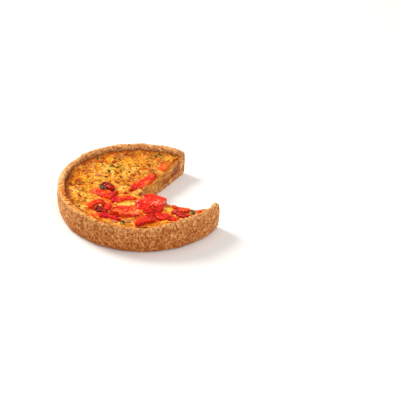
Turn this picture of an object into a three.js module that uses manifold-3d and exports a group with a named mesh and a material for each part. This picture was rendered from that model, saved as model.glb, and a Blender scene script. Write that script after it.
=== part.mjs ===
// Tomato mozzarella quiche with one wedge cut out, in millimetres, +Z up.
// The origin is the middle of the base, and the missing wedge opens towards +X and +Y.
// A thick crust carries a set custard, with roasted tomato pieces and torn leaves lying on it.

import * as THREE from 'three';
import { ImprovedNoise } from 'three/addons/math/ImprovedNoise.js';
import { mergeVertices } from 'three/addons/utils/BufferGeometryUtils.js';
import Module from 'manifold-3d';

const wasm = await Module();
wasm.setup();

// Driving dimensions of the crust
const RADIUS = 73; // outside, at the widest height of the wall
const OVAL = 1.65; // the ring is pressed a little oval, longest towards OVAL_AT
const OVAL_AT = -3;
const LOBES = 0.58; // and a little three-cornered
const LOBES_AT = 37;
const RIM_HEIGHT = 24.3;
const RIM_WIDTH = 6.3;
const RIM_RISE = 1.5; // the rim stands higher beside the front cut
const RIM_RISE_AT = 332;
const RIM_RISE_SPREAD = 22;
const RIM_DIP = 1.9; // and is worn down in front
const RIM_DIP_AT = 300;
const RIM_DIP_SPREAD = 13;
const BASE_THICKNESS = 4.8;
const WALL_FOOT = 2.4; // how far the wall thickens inwards above the base
const CRUMB = 0.9; // coarse grain of the pastry
const CRUMB_SPACING = 3.2;
const RIM_CRAGS = 1.3;

// Driving dimensions of the custard
const GAP = 0.3; // clearance between pieces that touch
const CUSTARD_MIDDLE = 16.6;
const CUSTARD_EDGE = 21.2;
const CUSTARD_DISHING = 2.2;
const CUSTARD_LUMPS = 0.9;
const CUSTARD_LUMP_SPACING = 7;
const SLUMP = 6.3; // the filling has sunk along the front cut
const SLUMP_REACH = 9;
const SLUMP_FROM_MIDDLE = 48;
const SLUMP_LENGTH = 24;

// The missing wedge: its point and the headings of its two cuts, in degrees from +X
const WEDGE_POINT = new THREE.Vector2(-0.5, -8);
const FRONT_CUT_HEADING = 9.7;
const BACK_CUT_HEADING = 86.3;
const CUT_LENGTH = 110;
const CUT_WAVER = 0.35;
const CUT_STEPS = 9;

// Driving dimensions of the tomato pieces
const EDGE_ROUNDING = 1.1;
const EDGE_STEP = 3.1; // between the points that draw a piece's edge
const SINK = 2; // how far a piece's underside would reach below the custard's dish
const ROOM_HEIGHT = 12; // of the space kept clear round a piece
const OVERHANG = 2.9; // thickness of the part that stands out over the front cut

// Mesh fineness
const CRUST_TURNS = 150;
const CRUST_ROWS = 22; // steps between the points of crustSection
const CUSTARD_TURNS = 72;

const DEGREE = Math.PI / 180;
const noise = new ImprovedNoise();

const material = (color, roughness) => new THREE.MeshStandardMaterial({ color, roughness, metalness: 0 });
const CRUST = material(0xc68a4e, 0.9);
const CUSTARD = material(0xe6a53c, 0.6);
const TOMATO = material(0xe2381c, 0.3);
const DARK_TOMATO = material(0xa81416, 0.25);
const LEAF = material(0x3b4a22, 0.7);

function heading(degrees) {
  return new THREE.Vector2(Math.cos(degrees * DEGREE), Math.sin(degrees * DEGREE));
}

// A smooth hill of height 1 round an angle, for angles in radians
function hill(angle, atDegrees, spreadDegrees) {
  const away = Math.atan2(Math.sin(angle - atDegrees * DEGREE), Math.cos(angle - atDegrees * DEGREE));
  return Math.exp(-((away / (spreadDegrees * DEGREE)) ** 2));
}

function outsideRadius(angle) {
  const oval = OVAL * Math.cos(2 * (angle - OVAL_AT * DEGREE));
  const lobes = LOBES * Math.cos(3 * (angle - LOBES_AT * DEGREE));
  return RADIUS + oval + lobes;
}

function rimHeight(angle) {
  const rise = RIM_RISE * hill(angle, RIM_RISE_AT, RIM_RISE_SPREAD);
  const dip = RIM_DIP * hill(angle, RIM_DIP_AT, RIM_DIP_SPREAD);
  const waver = 0.8 * noise.noise(3 * Math.cos(angle), 3 * Math.sin(angle), 4.5);
  return RIM_HEIGHT + rise - dip + waver;
}

// Turns a three.js geometry into a closed shape that booleans accept
function weld(geometry) {
  const bare = geometry.clone();
  bare.deleteAttribute('normal');
  bare.deleteAttribute('uv');
  const merged = mergeVertices(bare, 1e-4);
  const kept = [];
  const index = merged.index.array;
  for (let i = 0; i < index.length; i += 3) {
    const [a, b, c] = index.slice(i, i + 3);
    if (a !== b && b !== c && c !== a) {
      kept.push(a, b, c);
    }
  }
  return new wasm.Manifold(new wasm.Mesh({
    numProp: 3,
    vertProperties: new Float32Array(merged.attributes.position.array),
    triVerts: new Uint32Array(kept),
  }));
}

// A closed skin of turns by rows, placed by place(angle, row share, point to set).
// Row 0 and the last row each close to one point.
function closedSkin(turns, rows, place) {
  const sheet = new THREE.PlaneGeometry(1, 1, turns, rows);
  const position = sheet.attributes.position;
  const point = new THREE.Vector3();
  for (let i = 0; i < position.count; i += 1) {
    const turn = (i % (turns + 1)) % turns;
    const row = Math.floor(i / (turns + 1));
    place((turn / turns) * 2 * Math.PI, row, point);
    position.setXYZ(i, point.x, point.y, point.z);
  }
  return weld(sheet);
}

// Section of the crust as [inset from the outside, height]: over the base, up the inside,
// over the rim, down the outside and back under the base
function crustSection(angle) {
  const top = rimHeight(angle);
  const outside = outsideRadius(angle);
  const wide = RIM_WIDTH;
  return [
    [outside, BASE_THICKNESS],
    [outside * 0.5, BASE_THICKNESS],
    [wide + WALL_FOOT + 2.4, BASE_THICKNESS],
    [wide + WALL_FOOT, BASE_THICKNESS + 1.6],
    [wide + 1.1, BASE_THICKNESS + 6],
    [wide + 0.5, CUSTARD_EDGE - 5],
    [wide + 0.1, CUSTARD_EDGE - 1],
    [wide - 0.2, top - 2.4],
    [wide - 0.9, top - 1.1],
    [wide - 2.2, top - 0.2],
    [wide - 3.6, top],
    [wide - 4.9, top - 0.6],
    [0.5, top - 2.1],
    [0.1, top - 4.6],
    [0, top - 8],
    [0, 12.5],
    [0.2, 9],
    [0.5, 5.5],
    [0.9, 2.6],
    [1.7, 0.8],
    [3.2, 0],
    [outside * 0.5, 0],
    [outside, 0],
  ];
}
const GRAINY_ROWS = [8, 19]; // from the inside of the rim to the foot of the outside
const RIM_ROWS = [8, 12];

// Pastry grain at a place on the crust, taller up the wall than it is wide
function crumb(angle, height, spacing) {
  const around = RADIUS / spacing;
  return noise.noise(around * Math.cos(angle), around * Math.sin(angle), height / (1.6 * spacing));
}

function crustSolid() {
  return closedSkin(CRUST_TURNS, CRUST_ROWS, (angle, row, point) => {
    const [inset, height] = crustSection(angle)[row];
    let radius = outsideRadius(angle) - inset;
    let z = height;
    if (row >= GRAINY_ROWS[0] && row <= GRAINY_ROWS[1]) {
      radius += CRUMB * crumb(angle, height, CRUMB_SPACING);
    }
    if (row >= RIM_ROWS[0] && row <= RIM_ROWS[1]) {
      z += RIM_CRAGS * crumb(angle, row * 3, CRUMB_SPACING);
    }
    point.set(radius * Math.cos(angle), radius * Math.sin(angle), z);
  });
}

// A place's distance from the front cut, above 0 on the side that remains, and its distance along it
function fromFrontCut(x, y) {
  const along = heading(FRONT_CUT_HEADING);
  const dx = x - WEDGE_POINT.x;
  const dy = y - WEDGE_POINT.y;
  return { away: along.y * dx - along.x * dy, along: along.x * dx + along.y * dy };
}

// The custard's dished top without its lumps
function custardDish(x, y) {
  const share = Math.min(1, Math.hypot(x, y) / (RADIUS - RIM_WIDTH));
  const bowl = CUSTARD_MIDDLE + (CUSTARD_EDGE - CUSTARD_MIDDLE) * share ** CUSTARD_DISHING;
  const { away, along } = fromFrontCut(x, y);
  const sunk = Math.exp(-((away / SLUMP_REACH) ** 2) - (((along - SLUMP_FROM_MIDDLE) / SLUMP_LENGTH) ** 2));
  return bowl - SLUMP * sunk;
}

function custardTop(x, y) {
  const lumps = noise.noise(x / CUSTARD_LUMP_SPACING, y / CUSTARD_LUMP_SPACING, 7.3);
  return custardDish(x, y) + CUSTARD_LUMPS * lumps;
}

function custardSolid(lift = 0) {
  const topShares = [0, 0.17, 0.31, 0.44, 0.56, 0.67, 0.77, 0.86, 0.94, 1];
  const wall = [
    [RIM_WIDTH + 0.5, CUSTARD_EDGE - 5],
    [RIM_WIDTH + 1.1, BASE_THICKNESS + 6],
    [RIM_WIDTH + WALL_FOOT, BASE_THICKNESS + 1.6],
    [RIM_WIDTH + WALL_FOOT + 2.4, BASE_THICKNESS],
  ];
  const lastTop = topShares.length - 1;
  const rows = lastTop + wall.length + 2;
  return closedSkin(CUSTARD_TURNS, rows, (angle, row, point) => {
    const outside = outsideRadius(angle);
    let radius = 0;
    let z = BASE_THICKNESS + GAP;
    if (row <= lastTop) {
      radius = (outside - RIM_WIDTH - 0.3 - GAP) * topShares[row];
      z = custardTop(radius * Math.cos(angle), radius * Math.sin(angle));
    } else if (row <= lastTop + wall.length) {
      const [inset, height] = wall[row - lastTop - 1];
      radius = outside - inset - GAP;
      z = height + GAP;
    } else if (row < rows) {
      radius = outside * 0.5;
    }
    point.set(radius * Math.cos(angle), radius * Math.sin(angle), z + lift);
  });
}

// The prism between the two cuts, whose faces waver as a knife leaves them
function wedgeSolid() {
  const side = (degrees, seed) => {
    const along = heading(degrees);
    const points = [];
    for (let i = 0; i <= CUT_STEPS; i += 1) {
      const distance = (CUT_LENGTH * i) / CUT_STEPS;
      const waver = i === 0 ? 0 : CUT_WAVER * noise.noise(distance / 9, seed, 0.5);
      points.push(new THREE.Vector2(
        WEDGE_POINT.x + along.x * distance - along.y * waver,
        WEDGE_POINT.y + along.y * distance + along.x * waver,
      ));
    }
    return points;
  };
  const front = side(FRONT_CUT_HEADING, 2.5);
  const back = side(BACK_CUT_HEADING, 8.5).reverse();
  const shape = new THREE.Shape([...front, ...back.slice(0, -1)]);
  const prism = new THREE.ExtrudeGeometry(shape, { depth: 60, bevelEnabled: false });
  return weld(prism.translate(0, 0, -15));
}

// A closed edge through the corners, straight between them where bend is 0 and rounder as it grows
function edgeThrough(corners, bend) {
  const points = corners.map(([x, y]) => new THREE.Vector3(x, y, 0));
  const curve = new THREE.CatmullRomCurve3(points, true, 'catmullrom', bend);
  const edge = [];
  points.forEach((point, i) => {
    const side = point.distanceTo(points[(i + 1) % points.length]);
    const steps = Math.max(1, Math.round(side / EDGE_STEP));
    for (let k = 0; k < steps; k += 1) {
      edge.push(curve.getPoint((i + k / steps) / points.length));
    }
  });
  return edge;
}

// A flat soft piece lying on the custard. Its edge runs smoothly through its corners. Its top stands
// thick above the custard's dish and rises by slope a millimetre towards a heading.
// grow widens it on every side.
function flatPiece({ corners, thick, slope = 0, towards = 0, bend = 0.3 }, grow = 0) {
  const edge = edgeThrough(corners, bend);
  const middle = new THREE.Vector3();
  edge.forEach((point) => middle.addScaledVector(point, 1 / edge.length));
  const uphill = heading(towards);
  const shape = new THREE.Shape(edge.map((point) => new THREE.Vector2(point.x, point.y)));
  const slab = new THREE.ExtrudeGeometry(shape, {
    depth: thick + SINK - 2 * EDGE_ROUNDING,
    bevelThickness: EDGE_ROUNDING,
    bevelSize: EDGE_ROUNDING,
    bevelOffset: grow - EDGE_ROUNDING,
    bevelSegments: 2,
  });
  const position = slab.attributes.position;
  for (let i = 0; i < position.count; i += 1) {
    const x = position.getX(i);
    const y = position.getY(i);
    let z = position.getZ(i) + EDGE_ROUNDING - SINK;
    if (fromFrontCut(x, y).away < EDGE_ROUNDING && x > WEDGE_POINT.x) {
      z = Math.max(z, thick - OVERHANG);
    }
    const rise = slope * (uphill.x * (x - middle.x) + uphill.y * (y - middle.y));
    position.setZ(i, z + custardDish(x, y) + rise);
  }
  return weld(slab);
}

// A thin wavy leaf resting just above the custard, or above a piece that stands on it
function leafSolid({ at, turned, length, width, wave, above = CUSTARD_LUMPS, seed = 1 }) {
  const thickness = 0.9;
  const forward = heading(turned);
  return closedSkin(10, 8, (angle, row, point) => {
    const share = Math.cos((Math.PI * row) / 8);
    const full = Math.max(0, 1 - share * share) ** 0.8;
    const ahead = (length / 2) * share;
    const aside = (width / 2) * full * Math.cos(angle);
    const x = at[0] + forward.x * ahead - forward.y * aside;
    const y = at[1] + forward.y * ahead + forward.x * aside;
    const ripple = wave * (1 + Math.sin(1.1 * ahead + seed) * Math.cos(0.9 * aside));
    const half = (thickness / 2) * Math.max(full, row % 8 ? 0.35 : 0) * Math.sin(angle);
    const rest = above + GAP + thickness / 2;
    point.set(x, y, custardDish(x, y) + rest + ripple + half);
  });
}

// Tomato pieces as the corners of their edges, [x, y] in turn. Each is trimmed to clear those before it.
const TOMATOES = {
  tomato_square: {
    thick: 5.4,
    bend: 0.12,
    corners: [
      [12.7, -20.6], [7.5, -11.6], [10.1, -8.2], [14.3, -4.6], [20.2, -4.2], [26.4, -3.1],
      [28, -5.9], [29.4, -13.1], [29.9, -21.3], [22.4, -24.4], [15.8, -23],
    ],
  },
  tomato_fold: {
    thick: 3.3,
    slope: 0.62,
    towards: 105,
    bend: 0.15,
    corners: [
      [8.4, -24.2], [11, -21], [16, -22], [22.4, -23], [29, -20], [30.8, -16.8], [33, -23.2],
      [29.4, -27], [23.9, -29.2], [17.6, -29.8], [12, -28.6],
    ],
  },
  tomato_strip_back: {
    thick: 3.6,
    corners: [
      [-8, -6.5], [-10, -1], [-10, 5], [-7.5, 12], [-6, 21], [-3.6, 27.5],
      [-0.8, 26.5], [1.5, 18], [0.8, 11], [-0.2, 2], [-3.5, -5.5],
    ],
  },
  tomato_chip_back: {
    thick: 1.9,
    corners: [
      [-4, 40], [-3.2, 45.3], [1, 45.6], [2.9, 42], [2.5, 38.2], [-1, 38.5],
    ],
  },
  tomato_roll_dark: {
    thick: 4.2,
    corners: [
      [-34, -12], [-33, -8.5], [-29.5, -7.5], [-24, -8.5], [-20, -11], [-19.5, -15],
      [-23.5, -16], [-29.5, -14],
    ],
  },
  tomato_chunk_left: {
    thick: 2.8,
    corners: [
      [-33.5, -25.5], [-35, -21], [-33, -18.3], [-28, -17.2], [-23, -18], [-18.8, -17.3],
      [-17, -13.6], [-15.2, -15], [-14.6, -20], [-15, -27], [-19.5, -28.5], [-26.5, -28.2],
      [-31, -27.2],
    ],
  },
  tomato_strip_middle: {
    thick: 3,
    corners: [
      [-11.5, -31], [-14.2, -26], [-12.8, -22], [-9.3, -20], [-6.5, -16.3], [-1.5, -15.3],
      [3, -14.5], [2.6, -17.2], [-2, -20.8], [-5.3, -26], [-8.3, -30],
    ],
  },
  tomato_curl: {
    thick: 3.2,
    corners: [
      [-22.5, -50.5], [-25, -45], [-24, -39], [-22, -34.6], [-18, -34], [-13.6, -36.8],
      [-14.2, -40], [-18, -39.4], [-20, -42], [-19.4, -46], [-18, -50], [-20, -52],
    ],
  },
  tomato_core: {
    thick: 2.6,
    corners: [
      [-17, -49.5], [-17.6, -44.5], [-14.5, -42.5], [-11, -45], [-9.3, -48.5], [-9.6, -52],
      [-12.5, -54.3], [-15.8, -52.6],
    ],
  },
  tomato_chip_curl: {
    thick: 3.2,
    corners: [
      [-12, -43.3], [-12.6, -38.5], [-11, -33.8], [-7.8, -36.5], [-5, -43.5], [-6.4, -47],
      [-9.4, -46],
    ],
  },
  tomato_slab_front: {
    thick: 3.8,
    corners: [
      [-3.8, -45.5], [-4.2, -41.5], [-1.6, -36.4], [3, -33], [9, -31.3], [14.5, -33],
      [19, -34.6], [21, -39.5], [17, -43.8], [11.5, -46.2], [7.5, -48.6], [2, -47.8],
    ],
  },
  tomato_sliver_front: {
    thick: 2.8,
    corners: [
      [-8.4, -58], [-9, -53.5], [-4, -50.8], [3, -51.6], [9, -52.6], [13.6, -55.2],
      [9, -57.2], [3, -56.4], [-2.5, -58.2], [-6, -60],
    ],
  },
  tomato_arc_front: {
    thick: 3.7,
    corners: [
      [27.4, -57.6], [24.8, -54], [23.8, -48.5], [24.6, -43], [25.4, -37], [29.4, -34.3],
      [34.5, -37.8], [38.3, -42.5], [36.2, -45.8], [32.6, -46.2], [32.8, -51], [32.2, -54.6],
      [30.2, -57],
    ],
  },
  tomato_patch_front: {
    thick: 3.2,
    corners: [
      [31, -32], [35, -31], [37, -27.5], [40.5, -26.2], [44.8, -28.2], [46.3, -31],
      [43.5, -34.6], [40.5, -38.5], [38, -38.4], [34.5, -35.5],
    ],
  },
  tomato_strip_cut: {
    thick: 3.2,
    corners: [
      [33.6, -6], [37.6, -5], [42, -8.2], [45.8, -8.6], [48, -5.5], [50.6, -6],
      [54.3, -11.5], [55, -15.5], [51, -18.3], [45, -16.8], [38.6, -12.8],
    ],
  },
  tomato_strip_cut_dark: {
    thick: 3,
    corners: [
      [41.5, -20.5], [43.4, -18.3], [50, -21], [56, -21.2], [59.6, -21.2], [60.2, -23.6],
      [57, -26.8], [51.5, -26], [45.5, -23.6],
    ],
  },
  tomato_chip_cut: {
    thick: 2,
    corners: [
      [60.2, -10.5], [60, -6.5], [62.2, -5.4], [63.8, -9], [62.8, -12.3],
    ],
  },
  tomato_chip_right: {
    thick: 2.3,
    corners: [
      [47, -32.3], [47.3, -29], [51, -28.2], [53.5, -30.8], [52.2, -33.8], [49, -34.2],
    ],
  },
  tomato_chip_low: {
    thick: 1.9,
    corners: [
      [46.6, -38.2], [48.2, -35.9], [52.8, -35.5], [51.8, -38], [49.2, -40],
    ],
  },
  tomato_chip_left: {
    thick: 1.7,
    corners: [
      [-14.8, -62.2], [-14.5, -59], [-10.5, -59.4], [-7, -61.4], [-9.5, -63.4], [-12.5, -63.2],
    ],
  },
};
const DARK_PIECES = ['tomato_roll_dark', 'tomato_core', 'tomato_strip_cut_dark', 'tomato_sliver_front'];

const LEAVES = {
  leaf_left: { at: [-28.3, -18.8], turned: -18, length: 8.4, width: 5, wave: 0.5, above: 3, seed: 1 },
  leaf_right: { at: [59, -16.4], turned: -45, length: 8, width: 4.6, wave: 0.5, seed: 2.2 },
  leaf_front: { at: [16.6, -59.8], turned: -76, length: 6.2, width: 3.8, wave: 0.4, seed: 4 },
};

// Herb shreds and onion bits that show in the custard, as [x, y, heading, length, width]
const SEEN_BITS = [
  [-60.2, 22.6, 60, 5.5, 2],
  [-63.2, -17.6, 70, 6, 2.2],
  [-42.1, 12.9, 30, 4, 2],
  [-38.2, 2.4, 80, 3, 2],
  [-44.4, 19, -20, 4, 1.8],
  [-15.4, 57.4, 10, 6, 2],
  [-17.8, 53.2, 40, 3.6, 2],
  [-15.4, 38.9, 30, 4, 2.2],
  [-24, 33, 0, 4, 1.8],
  [-29.1, 11.1, 50, 3.4, 1.6],
  [-17.4, 1.4, 60, 4.2, 1.6],
  [-38.1, 23.9, 40, 9, 1.6],
  [-45.1, 28.4, 20, 5, 2.6],
  [-54.5, 25.5, 0, 4, 2.4],
  [-42.5, 42, 30, 5, 2.4],
  [-2.4, 54.6, -40, 6, 2],
  [-19.5, 18.3, 10, 4, 2.8],
  [-56.6, -1.3, 30, 4, 2.8],
  [-44.8, 0.3, 0, 5.4, 3],
  [9.4, -61.4, -20, 6, 3.6],
  [18.7, -53, -50, 6, 3.6],
];
const SCATTERED_BITS = 12;
const BIT_HEIGHT = 1.7;

// Keeps fused bits off the cuts, the crust and the tomato pieces
function isClear(x, y, reach, placed) {
  const front = fromFrontCut(x, y);
  const across = heading(BACK_CUT_HEADING);
  const fromBackCut = across.x * (y - WEDGE_POINT.y) - across.y * (x - WEDGE_POINT.x);
  const outsideWedge = front.away > reach + 1.5 || fromBackCut > reach + 1.5;
  const insideRim = Math.hypot(x, y) < RADIUS - RIM_WIDTH - OVAL - 2 - reach;
  const offTomatoes = Object.values(TOMATOES).every(({ corners }) => (
    corners.every(([cx, cy]) => Math.hypot(x - cx, y - cy) > 5 + reach)
  ));
  const offBits = placed.every(([bx, by]) => Math.hypot(x - bx, y - by) > 7);
  return outsideWedge && insideRim && offTomatoes && offBits;
}

function scatteredBits() {
  const placed = [...SEEN_BITS];
  THREE.MathUtils.seededRandom(41);
  const random = () => THREE.MathUtils.seededRandom();
  for (let tries = 0; placed.length < SEEN_BITS.length + SCATTERED_BITS && tries < 4000; tries += 1) {
    const radius = 62 * Math.sqrt(random());
    const angle = 2 * Math.PI * random();
    const x = radius * Math.cos(angle);
    const y = radius * Math.sin(angle);
    const length = 2.6 + 2.4 * random();
    if (isClear(x, y, length / 2, placed)) {
      placed.push([x, y, 180 * random(), length, 1.6 + 0.8 * random()]);
    }
  }
  return placed;
}

function bitSolid([x, y, turned, length, width]) {
  const forward = heading(turned);
  return closedSkin(5, 4, (angle, row, point) => {
    const share = Math.cos((Math.PI * row) / 4);
    const full = Math.sqrt(Math.max(0, 1 - share * share));
    const ahead = (length / 2) * share;
    const aside = (width / 2) * full * Math.cos(angle);
    const px = x + forward.x * ahead - forward.y * aside;
    const py = y + forward.y * ahead + forward.x * aside;
    point.set(px, py, custardTop(px, py) + (BIT_HEIGHT / 2) * full * Math.sin(angle));
  });
}

function meshOf(name, solid, look) {
  const { vertProperties, triVerts, numProp } = solid.getMesh();
  const geometry = new THREE.BufferGeometry();
  const positions = new Float32Array((vertProperties.length / numProp) * 3);
  for (let i = 0; i < positions.length / 3; i += 1) {
    positions.set(vertProperties.slice(i * numProp, i * numProp + 3), i * 3);
  }
  geometry.setAttribute('position', new THREE.BufferAttribute(positions, 3));
  geometry.setIndex(new THREE.BufferAttribute(new Uint32Array(triVerts), 1));
  geometry.computeVertexNormals();
  const mesh = new THREE.Mesh(geometry, look);
  mesh.name = name;
  return mesh;
}

const wedge = wedgeSolid();
const custardRaised = custardSolid(GAP);

const quiche = new THREE.Group();
quiche.name = 'quiche';
quiche.add(meshOf('crust', crustSolid().subtract(wedge), CRUST));

let custard = custardSolid();
for (const bit of scatteredBits()) {
  custard = custard.add(bitSolid(bit));
}
quiche.add(meshOf('custard', custard.subtract(wedge), CUSTARD));

const toppings = new THREE.Group();
toppings.name = 'toppings';
let taken = null;
for (const [name, piece] of Object.entries(TOMATOES)) {
  let solid = flatPiece(piece).subtract(custardRaised);
  if (taken) {
    solid = solid.subtract(taken);
  }
  const room = flatPiece({ ...piece, thick: ROOM_HEIGHT }, GAP);
  taken = taken ? taken.add(room) : room;
  toppings.add(meshOf(name, solid, DARK_PIECES.includes(name) ? DARK_TOMATO : TOMATO));
}
for (const [name, leaf] of Object.entries(LEAVES)) {
  toppings.add(meshOf(name, leafSolid(leaf), LEAF));
}
quiche.add(toppings);

export default quiche;
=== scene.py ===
"""Looks of the cut tomato mozzarella quiche: crumbly wholemeal crust, baked cheese custard with herbs
and onion, roasted tomato pieces and torn leaves. Every piece follows its solid in the frame."""

import math

import bpy
import numpy as np
from mathutils import Matrix, Quaternion, Vector
from mathutils.bvhtree import BVHTree
from mathutils.geometry import delaunay_2d_cdt


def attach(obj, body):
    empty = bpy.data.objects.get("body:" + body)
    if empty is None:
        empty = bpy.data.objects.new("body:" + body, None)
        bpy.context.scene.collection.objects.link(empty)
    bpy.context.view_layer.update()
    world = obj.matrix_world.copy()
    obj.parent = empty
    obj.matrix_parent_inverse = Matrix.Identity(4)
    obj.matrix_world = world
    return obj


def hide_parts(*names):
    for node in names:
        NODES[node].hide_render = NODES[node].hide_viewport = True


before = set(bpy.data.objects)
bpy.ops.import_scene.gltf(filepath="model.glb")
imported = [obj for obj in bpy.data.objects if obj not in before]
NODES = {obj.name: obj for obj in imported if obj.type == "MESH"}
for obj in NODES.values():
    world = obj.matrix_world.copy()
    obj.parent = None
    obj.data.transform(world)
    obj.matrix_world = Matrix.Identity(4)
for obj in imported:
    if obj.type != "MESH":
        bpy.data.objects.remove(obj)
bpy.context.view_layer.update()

MM = 0.001

# Both cuts run out from the wedge's point, in millimetres, at these headings in degrees from +X
WEDGE_POINT = np.array([-0.5, -8.0])
BACK_CUT = 86.3
FRONT_CUT = 9.7 + 360

# Section of the crust in millimetres, from the part
RIM_HEIGHT = 24.3
RIM_WIDTH = 6.3
BASE_THICKNESS = 4.8
GAP = 0.3

# Fineness of the two large pieces: sections round the wedge's point, and millimetres on their cut faces
CRUST_STEPS = 720
CRUST_CUT_STEP = 0.7
CUSTARD_STEPS = 560
CUSTARD_CUT_STEP = 0.55

# Rays that read the solids start this far out and this high, in millimetres, and what they read is smoothed
RAY_OUT = 120
RAY_ABOVE = 60.0
OUTLINE_HEIGHT = 12.0
RIM_READ_INSET = 2.8
SMOOTHED_DEGREES = 3.0
SMOOTHED_SHARE = 0.03

# Photograph's camera: azimuth and elevation of the view, roll, distance and the point in its middle
PHOTO_AZIMUTH = 27.0
PHOTO_ELEVATION = 32.0
PHOTO_ROLL = 1.65
PHOTO_DISTANCE = 1067.4
PHOTO_MIDDLE = np.array([39.3, 35.5, 0.0])
PHOTO_LENS = 108.0
PHOTO_SENSOR = 36.0
PHOTO_PIXELS = 400


# Repeatable noise on arrays of points

# Numbers that mix a cell's three indices, the seed and then the bits of their sum
INDEX_FACTORS = (374761393, 668265263, 1442695041)
SEED_FACTOR = 974711
BIT_STEPS = ((13, 1274126177), (16, 2246822519))
LOW_BITS = 0xFFFFFFFF
OCTAVE_SEEDS = 17


def cell_value(cell, seed):
    """A repeatable number in -1..1 for each row of whole numbers."""
    mixed = seed * SEED_FACTOR
    for axis, factor in enumerate(INDEX_FACTORS):
        mixed = mixed + cell[..., axis] * factor
    mixed = mixed & LOW_BITS
    for shift, factor in BIT_STEPS:
        mixed = ((mixed ^ (mixed >> shift)) * factor) & LOW_BITS
    return ((mixed ^ (mixed >> 15)) & 0xFFFF) / 32767.5 - 1.0


def ease(value, low, high):
    """A soft climb from 0 at low to 1 at high."""
    share = np.clip((value - low) / (high - low), 0, 1)
    return share * share * (3 - 2 * share)


def smooth_noise(points, size, seed=0):
    """Soft noise in about -1..1 with lumps size across. size may be a number or one for each axis."""
    scaled = points / np.asarray(size, float)
    cell = np.floor(scaled).astype(np.int64)
    soft = ease(scaled - cell, 0, 1)
    total = np.zeros(points.shape[:-1])
    for corner in np.ndindex(2, 2, 2):
        step = np.array(corner)
        weight = np.prod(np.where(step == 1, soft, 1 - soft), axis=-1)
        total += weight * cell_value(cell + step, seed)
    return total


def rough_noise(points, size, seed=0, octaves=3, fade=0.55):
    """Soft noise with finer and weaker noise laid on it."""
    total = np.zeros(points.shape[:-1])
    strength, sum_strength = 1.0, 0.0
    for octave in range(octaves):
        finer = np.asarray(size, float) / 2**octave
        total += strength * smooth_noise(points, finer, seed + OCTAVE_SEEDS * octave)
        sum_strength += strength
        strength *= fade
    return total / sum_strength


def noise_moves(points, size, seed, axes=3):
    """A move for each point, with soft noise along each axis."""
    return np.stack([smooth_noise(points, size, seed + k) for k in range(axes)], -1)


def grains(points, size, seed=0):
    """Distance to the nearest of points scattered one to a cell: 0 on its middle, about 1 between."""
    scaled = points / np.asarray(size, float)
    cell = np.floor(scaled).astype(np.int64)
    nearest = np.full(points.shape[:-1], 9.0)
    for corner in np.ndindex(3, 3, 3):
        other = cell + np.array(corner) - 1
        middle = other + 0.5 + 0.42 * np.stack([cell_value(other, seed + k) for k in range(3)], -1)
        nearest = np.minimum(nearest, np.linalg.norm(scaled - middle, axis=-1))
    return np.clip(nearest, 0, 1.2)


# Reading the frame's solids


def directions(headings):
    return np.stack([np.cos(np.radians(headings)), np.sin(np.radians(headings))], -1)


def heading_of(points):
    """Heading of each point from the wedge's point, from the back cut round to the front cut."""
    turned = np.degrees(np.arctan2(points[:, 1] - WEDGE_POINT[1], points[:, 0] - WEDGE_POINT[0])) % 360
    return np.where(turned < BACK_CUT - 1, turned + 360, turned)


def distance_of(points):
    return np.hypot(*(points[:, :2] - WEDGE_POINT).T)


def facing(headings, towards, faint, full):
    """1 at headings near the given one, falling to 0. faint and full are cosines of the angle between."""
    return ease(np.cos(np.radians(headings - towards)), faint, full)


def tree_of(piece):
    return BVHTree.FromObject(piece, bpy.context.evaluated_depsgraph_get())


def hit_distance(tree, start, direction):
    """Distance in millimetres from start to the solid, or not a number."""
    hit = tree.ray_cast(Vector(start) * MM, Vector(direction))
    return hit[3] / MM if hit[0] is not None else float("nan")


def top_at(tree, spot):
    """Height of the solid's top at a place, in millimetres, or not a number."""
    return RAY_ABOVE - hit_distance(tree, np.append(spot, RAY_ABOVE), (0, 0, -1))


def filled(values):
    """The same row of numbers with its gaps taken from their neighbours."""
    values = np.array(values)
    good = np.isfinite(values)
    return np.interp(np.arange(len(values)), np.flatnonzero(good), values[good])


def spread_matrix(fine, coarse, width):
    """Weights that carry values at the coarse places to the fine ones, smoothed over width."""
    weights = np.exp(-(((fine[:, None] - coarse[None, :]) / width) ** 2))
    return weights / weights.sum(1, keepdims=True)


def crust_outline(headings):
    """Distance of the crust's outside from the wedge's point, and the height of its rim, at each heading."""
    tree = tree_of(NODES["crust"])
    coarse = np.linspace(BACK_CUT + 0.4, FRONT_CUT - 0.4, 240)
    reach, height = [], []
    for way in directions(coarse):
        start = np.append(WEDGE_POINT + way * RAY_OUT, OUTLINE_HEIGHT)
        reach.append(RAY_OUT - hit_distance(tree, start, (*-way, 0)))
        height.append(top_at(tree, WEDGE_POINT + way * (reach[-1] - RIM_READ_INSET)))
    smooth = spread_matrix(headings, coarse, SMOOTHED_DEGREES)
    return smooth @ filled(reach), smooth @ filled(height)


def custard_heights(headings, shares, reach):
    """Height of the custard's top at each share of the way from the wedge's point to its edge."""
    tree = tree_of(NODES["custard"])
    coarse_headings = np.linspace(BACK_CUT + 0.8, FRONT_CUT - 0.8, 150)
    coarse_shares = np.linspace(0.02, 0.985, 50)
    coarse_reach = np.interp(coarse_headings, headings, reach)
    table = [
        filled([top_at(tree, WEDGE_POINT + way * share * edge) for share in coarse_shares])
        for way, edge in zip(directions(coarse_headings), coarse_reach)
    ]
    across = spread_matrix(headings, coarse_headings, SMOOTHED_DEGREES)
    along = spread_matrix(shares, coarse_shares, SMOOTHED_SHARE)
    return across @ np.array(table) @ along.T


# Meshes and pieces


def read(mesh, what):
    """The points or normals of a mesh, one row to a vertex."""
    values = np.empty(len(mesh.vertices) * 3, np.float32)
    mesh.vertices.foreach_get(what, values)
    return values.reshape(-1, 3).astype(float)


def points_of(mesh):
    return read(mesh, "co") / MM


def set_points(mesh, points):
    mesh.vertices.foreach_set("co", (points * MM).ravel())
    mesh.update()


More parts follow.
